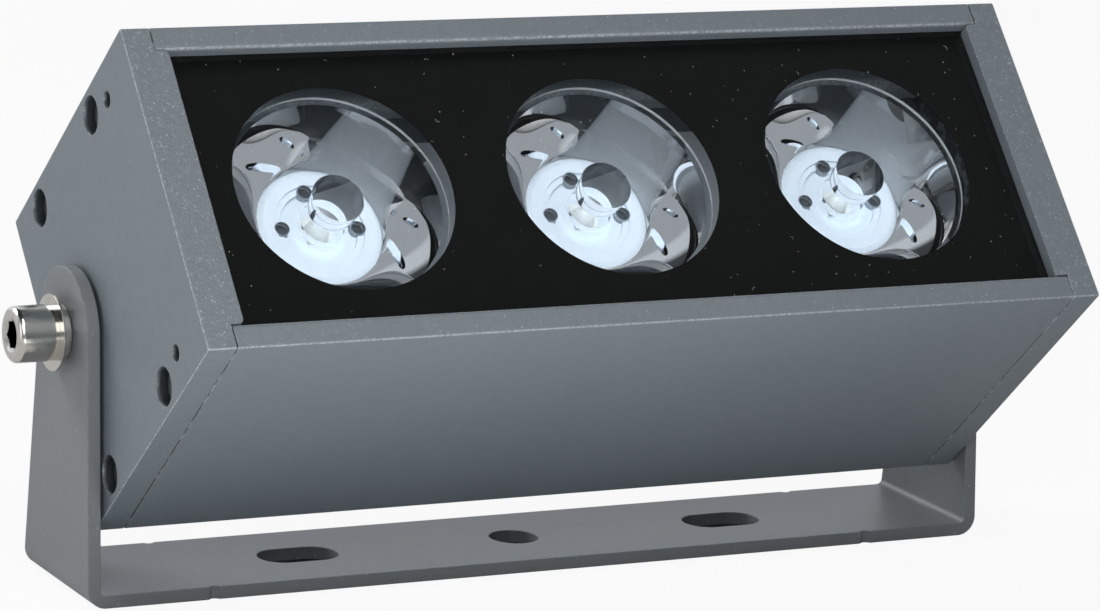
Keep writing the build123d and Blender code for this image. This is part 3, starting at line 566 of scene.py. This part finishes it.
# Collimator lenses: a turned bowl on three pins, repeated along the row.
# The base stays a little off the holder's seat, as coinciding faces would show streaks.
lensShape = {
    "count": 3, "pitch": 67.3, "lift": 1.1,
    "front": 50.0, "base": 29.03, "rim": 26.7, "flange": 2.0, "edge": 0.25, "faceSteps": 3,
    "flankTop": 25.3, "flankBase": 15.0, "flankCurve": 0.854, "flankSteps": 36,
    "mouth": 6.1, "floor": 5.4, "wellDepth": 9.5, "wellDome": 1.2, "wallSteps": 4,
    "cavity": 5.4, "cavityDepth": 3.4, "cavityDome": 0.8, "domeSteps": 10,
    "pinRadius": 1.7, "pinAt": 9.2, "pinLength": 2.6, "pinAngles": (-5, 98, 180), "pinRoot": 0.5, "pinEdge": 0.2,
    "turns": 288, "pinTurns": 40, "slack": 0.01, "sharpAngle": 28,
}


def domeCurve(radius, level, height, steps):
    # a shallow dome from its middle to its edge, as radius and level pairs
    bend = (radius ** 2 + height ** 2) / (2 * abs(height))
    side = 1 if height > 0 else -1
    curve = []
    for i in range(steps + 1):
        r = radius * i / steps
        curve.append((r, level + height - side * (bend - math.sqrt(bend ** 2 - r ** 2))))
    return curve


def lensCurve(s):
    # from the middle of the well's floor, over the front and the flank, to the middle of the cavity's roof
    floor, roof = s["front"] - s["wellDepth"], s["base"] + s["cavityDepth"]
    back, wall, face, flank = s["front"] - s["flange"], s["wallSteps"], s["faceSteps"], s["flankSteps"]
    widening, ledge = s["mouth"] - s["floor"], s["rim"] - s["edge"] - s["mouth"]
    curve = domeCurve(s["floor"], floor, s["wellDome"], s["domeSteps"])
    curve += [(s["floor"] + widening * t / wall, floor + s["wellDepth"] * t / wall) for t in range(1, wall + 1)]
    curve += [(s["mouth"] + ledge * t / face, s["front"]) for t in range(1, face + 1)]
    curve += [(s["rim"], s["front"] - s["edge"]), (s["rim"], back)]
    for i in range(flank + 1):
        share = 1 - i / flank
        radius = s["flankBase"] + (s["flankTop"] - s["flankBase"]) * share ** s["flankCurve"]
        curve.append((radius, s["base"] + (back - s["base"]) * share))
    curve += [(s["cavity"], s["base"] + s["cavityDepth"] * t / wall) for t in range(wall + 1)]
    curve += domeCurve(s["cavity"], roof, -s["cavityDome"], s["domeSteps"])[-2::-1]
    return curve


def turnCurve(curve, turns, bands):
    # a closed mesh turned about n, with a face attribute for each band of its surface
    mesh = bpy.data.meshes.new("turned")
    build = bmesh.new()
    layers = {name: build.faces.layers.bool.new(name) for name in bands}
    angles = [2 * math.pi * k / turns for k in range(turns)]
    rings = []
    for r, n in curve:
        spots = [(r * math.cos(a), r * math.sin(a)) for a in angles] if r else [(0, 0)]
        rings.append([build.verts.new((x * mm, u * mm, n * mm)) for x, u in spots])
    for i in range(len(curve) - 1):
        low, high = rings[i], rings[i + 1]
        for k in range(turns):
            m = (k + 1) % turns
            corners = [low[k % len(low)], high[k % len(high)], high[m % len(high)], low[m % len(low)]]
            corners = [v for j, v in enumerate(corners) if v not in corners[:j]]
            face = build.faces.new(corners)
            for name, test in bands.items():
                face[layers[name]] = test(curve[i], curve[i + 1])
            face.smooth = True
    bmesh.ops.recalc_face_normals(build, faces=build.faces)
    build.to_mesh(mesh)
    build.free()
    return mesh


def makeLensSource(s):
    wall, back = s["rim"] - s["edge"] - s["slack"], s["front"] - s["flange"]
    bands = {
        "frosted": lambda a, b: a[0] > wall and b[0] > wall,
        "flank": lambda a, b: a[1] <= back and b[1] <= back and min(a[0], b[0]) >= s["flankBase"] - s["slack"],
    }
    source = link("lensSource", turnCurve(lensCurve(s), s["turns"], bands))
    radius, root, low = s["pinRadius"], s["base"] + s["pinRoot"], s["base"] - s["pinLength"]
    pinCurve = [(0, root), (radius, root), (radius, low + s["pinEdge"]), (radius - s["pinEdge"], low), (0, low)]
    for angle in s["pinAngles"]:
        pinMesh = turnCurve(pinCurve, s["pinTurns"], {name: lambda a, b: False for name in bands})
        turn = Matrix.Rotation(math.radians(angle), 4, "Z")
        pinMesh.transform(turn @ Matrix.Translation((s["pinAt"] * mm, 0, 0)))
        pin = link("pin", pinMesh)
        joint = source.modifiers.new("pin", "BOOLEAN")
        joint.operation, joint.object, joint.solver = "UNION", pin, "EXACT"
        joined = evaluated(source)
        source.modifiers.remove(joint)
        source.data = joined
        bpy.data.objects.remove(pin)
    source.data.set_sharp_from_angle(angle=math.radians(s["sharpAngle"]))
    return source


def makeRowTree():
    tree, start, end = newTree("lensRow", {
        "Count": "Int", "Pitch": "Float", "Lift": "Float",
        "Clear": "Material", "Frosted": "Material", "Flank": "Material",
    })
    # the row has its middle at x 0
    span = maths(tree, "MULTIPLY", maths(tree, "SUBTRACT", start["Count"], 1.0), start["Pitch"])
    first = addNode(tree, "ShaderNodeCombineXYZ", {"X": maths(tree, "MULTIPLY", span, -0.5), "Y": start["Lift"]})
    step = addNode(tree, "ShaderNodeCombineXYZ", {"X": start["Pitch"]})
    line = addNode(tree, "GeometryNodeMeshLine", {
        "Count": start["Count"], "Start Location": first.outputs["Vector"], "Offset": step.outputs["Vector"],
    })
    place = addNode(tree, "GeometryNodeInstanceOnPoints", {
        "Points": line.outputs["Mesh"], "Instance": start["Geometry"],
    })
    real = addNode(tree, "GeometryNodeRealizeInstances", {"Geometry": place.outputs["Instances"]})
    done = addNode(tree, "GeometryNodeSetMaterial", {
        "Geometry": real.outputs["Geometry"], "Material": start["Clear"],
    })
    for label in ("Frosted", "Flank"):
        band = addNode(tree, "GeometryNodeInputNamedAttribute", {"Name": label.lower()}, data_type="BOOLEAN")
        done = addNode(tree, "GeometryNodeSetMaterial", {
            "Geometry": done.outputs["Geometry"], "Material": start[label], "Selection": band.outputs["Attribute"],
        })
    feed(tree, end["Geometry"], done.outputs["Geometry"])
    return tree


def makeLenses(s):
    source = makeLensSource(s)
    mesh = runTree(source, makeRowTree(), {
        "Count": s["count"], "Pitch": s["pitch"] * mm, "Lift": s["lift"] * mm,
        "Clear": finish["clearLens"], "Frosted": finish["frostedRim"], "Flank": finish["lensFlank"],
    })
    bpy.data.objects.remove(source)
    mesh.transform(headTurn)
    return newPiece("clearLenses", mesh, "lens_clear", *[f"lens_{i + 1}" for i in range(s["count"])])


lenses = makeLenses(lensShape)
print("lenses made:", len(lenses.data.polygons), "faces")


# Fine dust and a few fibres that lie on the glass. Specks and fibres are counted by the square metre.
glassDust = {
    "width": 206.0, "height": 67.0, "level": 59.52, "spin": (0, 0, 6.28),
    "specks": 12000.0, "speckLow": 0.04, "speckHigh": 0.16, "speckSeed": 4,
    "speckSplits": 1, "speckShape": (1.0, 0.7, 0.4),
    "fibres": 1300.0, "fibreRadius": 0.55, "fibreThick": 0.022, "fibreSeed": 11,
    "fibreLow": 0.4, "fibreHigh": 1.5, "fibreSteps": 7, "fibreSides": 4, "fibreSweep": 1.9,
}


def scatter(tree, surface, instance, density, seed, low, high, spin):
    points = addNode(tree, "GeometryNodeDistributePointsOnFaces", {
        "Mesh": surface, "Density": density, "Seed": seed,
    })
    size = addNode(tree, "FunctionNodeRandomValue", {2: low, 3: high, "Seed": seed})
    turn = addNode(tree, "FunctionNodeRandomValue", {0: (0, 0, 0), 1: spin}, data_type="FLOAT_VECTOR")
    place = addNode(tree, "GeometryNodeInstanceOnPoints", {
        "Points": points.outputs["Points"], "Instance": instance, "Scale": size.outputs[1], "Rotation": turn.outputs[0],
    })
    return place.outputs["Instances"]


def makeDustTree(s):
    tree, start, end = newTree("glassDust", {
        "Specks": "Float", "Smallest": "Float", "Largest": "Float", "Speck Seed": "Int",
        "Fibres": "Float", "Fibre Radius": "Float", "Fibre Thickness": "Float", "Fibre Seed": "Int",
        "Finish": "Material",
    })
    speck = addNode(tree, "GeometryNodeMeshIcoSphere", {"Radius": 1.0, "Subdivisions": s["speckSplits"]})
    flat = addNode(tree, "GeometryNodeTransform", {"Geometry": speck.outputs["Mesh"], "Scale": s["speckShape"]})
    specks = scatter(tree, start["Geometry"], flat.outputs["Geometry"], start["Specks"], start["Speck Seed"],
                     start["Smallest"], start["Largest"], s["spin"])
    arc = addNode(tree, "GeometryNodeCurveArc", {
        "Resolution": s["fibreSteps"], "Sweep Angle": s["fibreSweep"], "Radius": start["Fibre Radius"],
    })
    ring = addNode(tree, "GeometryNodeCurvePrimitiveCircle", {
        "Resolution": s["fibreSides"], "Radius": start["Fibre Thickness"],
    })
    thread = addNode(tree, "GeometryNodeCurveToMesh", {
        "Fill Caps": True, "Curve": arc.outputs["Curve"], "Profile Curve": ring.outputs["Curve"],
    })
    fibres = scatter(tree, start["Geometry"], thread.outputs["Mesh"], start["Fibres"], start["Fibre Seed"],
                     s["fibreLow"], s["fibreHigh"], s["spin"])
    both = addNode(tree, "GeometryNodeJoinGeometry")
    for part in (specks, fibres):
        feed(tree, both.inputs["Geometry"], part)
    real = addNode(tree, "GeometryNodeRealizeInstances", {"Geometry": both.outputs["Geometry"]})
    done = addNode(tree, "GeometryNodeSetMaterial", {
        "Geometry": real.outputs["Geometry"], "Material": start["Finish"],
    })
    feed(tree, end["Geometry"], done.outputs["Geometry"])
    return tree


def makeGlassDust(s):
    w, h, n = s["width"] / 2 * mm, s["height"] / 2 * mm, s["level"] * mm
    sheet = bpy.data.meshes.new("glassFace")
    sheet.from_pydata([(-w, -h, n), (w, -h, n), (w, h, n), (-w, h, n)], [], [(0, 1, 2, 3)])
    source = link("glassFace", sheet)
    mesh = runTree(source, makeDustTree(s), {
        "Specks": s["specks"], "Smallest": s["speckLow"] * mm, "Largest": s["speckHigh"] * mm,
        "Speck Seed": s["speckSeed"], "Fibres": s["fibres"], "Fibre Radius": s["fibreRadius"] * mm,
        "Fibre Thickness": s["fibreThick"] * mm, "Fibre Seed": s["fibreSeed"], "Finish": finish["dustPale"],
    })
    bpy.data.objects.remove(source)
    mesh.transform(headTurn)
    return newPiece("glassDust", mesh, "clear_glass")


dust = makeGlassDust(glassDust)
print("dust made:", len(dust.data.polygons), "faces")


# The studio's places and sizes are in metres, as they belong to the scene.
studio = {
    "floor": 0.8, "floorRoughness": 0.85, "floorReach": 3, "floorShow": 0.92,
    "footprint": (0.1, 0.0185), "shadeUnder": 0.04, "fill": 0.04, "backdrop": 1.0,
    "camera": (-0.46, -0.888, 0.0), "skyFade": (-0.3, 0.2), "skyTint": (0.93, 0.99, 1.05),
    "nearSky": [(0.0, 0.42), (0.69, 0.42), (0.73, 0.65), (0.83, 0.65), (0.88, 0.06), (1.0, 0.04)],
    "farSky": [(0.0, 1.0), (0.83, 1.0), (0.88, 0.06), (1.0, 0.04)],
    "lamps": {
        "key": {"at": (0, -0.85, 1.53), "aim": (0, 0, 0.06), "size": 0.9, "power": 10.7},
        "front": {"at": (-0.26, -0.45, 0.36), "aim": (0, 0, 0.06), "size": 0.4, "power": 1.0},
        "rear": {"at": (-0.906, 1.08, 1.01), "aim": (0, 0, 0.06), "size": 0.9, "power": 15.0},
        "side": {"at": (-0.6, -0.05, 0.14), "aim": (-0.11, 0, 0.06), "size": 0.3, "power": 0.3},
        "low": {"at": (-0.05, -0.3, 0.006), "aim": (-0.05, -0.3, 1.0), "size": 0.36, "power": 0.58},
    },
}


def grey(level):
    return (level, level, level)


def makeSky(tree, height, tint, greys):
    # grey by height, from straight down at 0 to straight up at 1
    sky = addNode(tree, "ShaderNodeValToRGB", {"Fac": height})
    bar = sky.color_ramp
    while len(bar.elements) < len(greys):
        bar.elements.new(0.5)
    for element, (place, level) in zip(bar.elements, greys):
        element.position, element.color = place, (*shaded(tint, level), 1)
    return sky.outputs["Color"]


def makeWorld(s):
    world = bpy.data.worlds.new("studio")
    bpy.context.scene.world = world
    world.use_nodes = True
    tree = world.node_tree
    rays = addNode(tree, "ShaderNodeLightPath").outputs
    way = addNode(tree, "ShaderNodeTexCoord").outputs["Generated"]
    height = maths(tree, "ADD", maths(tree, "MULTIPLY", splitVector(tree, way)["Z"], 0.5), 0.5)
    near, far = (makeSky(tree, height, s["skyTint"], s[key]) for key in ("nearSky", "farSky"))
    sky = mixColour(tree, stretch(tree, dotWith(tree, way, s["camera"]), *s["skyFade"]), far, near)
    sharp = maths(tree, "MAXIMUM", rays["Is Glossy Ray"], rays["Is Transmission Ray"])
    colour = mixColour(tree, sharp, grey(s["fill"]), sky)
    colour = mixColour(tree, rays["Is Camera Ray"], colour, grey(s["backdrop"]))
    feed(tree, tree.nodes["Background"].inputs["Color"], colour)


def makeLamps(s):
    for name, lamp in s["lamps"].items():
        data = bpy.data.lights.new(name, "AREA")
        data.shape, data.size, data.energy = "DISK", lamp["size"], lamp["power"]
        light = link(name, data)
        aim = Vector(lamp["aim"]) - Vector(lamp["at"])
        light.matrix_world = Matrix.LocRotScale(Vector(lamp["at"]), aim.to_track_quat("-Z", "Y"), None)
        light.visible_camera = light.visible_transmission = False


def makeFloor(s):
    mesh, r = bpy.data.meshes.new("floor"), s["floorReach"]
    mesh.from_pydata([(-r, -r, 0), (r, -r, 0), (r, r, 0), (-r, r, 0)], [], [(0, 1, 2, 3)])
    floor = link("floor", mesh)
    material, tree, shader, place = newMaterial("paleFloor", s["floorRoughness"])
    # the floor in the holes of the base is dark, as in the photo
    # painted shade: under the base's footprint the floor gets a dark colour and is not shown white to the camera
    axes = splitVector(tree, place["Object"])
    near = (maths(tree, "LESS_THAN", maths(tree, "ABSOLUTE", axes[axis]), reach)
            for axis, reach in zip("XY", s["footprint"]))
    under = maths(tree, "MULTIPLY", *near)
    colour = mixColour(tree, under, grey(s["floor"]), grey(s["shadeUnder"]))
    feed(tree, shader.inputs["Base Color"], colour)
    rays = addNode(tree, "ShaderNodeLightPath").outputs
    glow = addNode(tree, "ShaderNodeEmission", {"Strength": s["backdrop"]}).outputs["Emission"]
    shown = maths(tree, "MULTIPLY", rays["Is Camera Ray"], stretch(tree, under, 0, 1, s["floorShow"], 0))
    showMixed(tree, shown, shader.outputs["BSDF"], glow)
    mesh.materials.append(material)


makeWorld(studio)
makeLamps(studio)
makeFloor(studio)
print("studio made")


photoCamera = {
    "position": (-0.519801, -1.015951, 0.307259), "azimuth": -27.393, "elevation": 12.223, "roll": 2.872,
    "lens": 161.24, "sensor": 36, "nearest": 0.05,
}


def makeCamera(s):
    a, e, r = (math.radians(s[key]) for key in ("azimuth", "elevation", "roll"))
    back = Vector((math.sin(a) * math.cos(e), -math.cos(a) * math.cos(e), math.sin(e)))
    right = Vector((math.cos(a), math.sin(a), 0))
    up = back.cross(right)
    right, up = right * math.cos(r) + up * math.sin(r), up * math.cos(r) - right * math.sin(r)
    data = bpy.data.cameras.new("photoCamera")
    data.lens, data.sensor_width, data.clip_start = s["lens"], s["sensor"], s["nearest"]
    camera = link("photoCamera", data)
    camera.matrix_world = Matrix.Translation(s["position"]) @ Matrix((right, up, back)).transposed().to_4x4()
    bpy.context.scene.camera = camera


makeCamera(photoCamera)
bpy.context.scene.view_settings.view_transform = "Standard"
print("camera set")
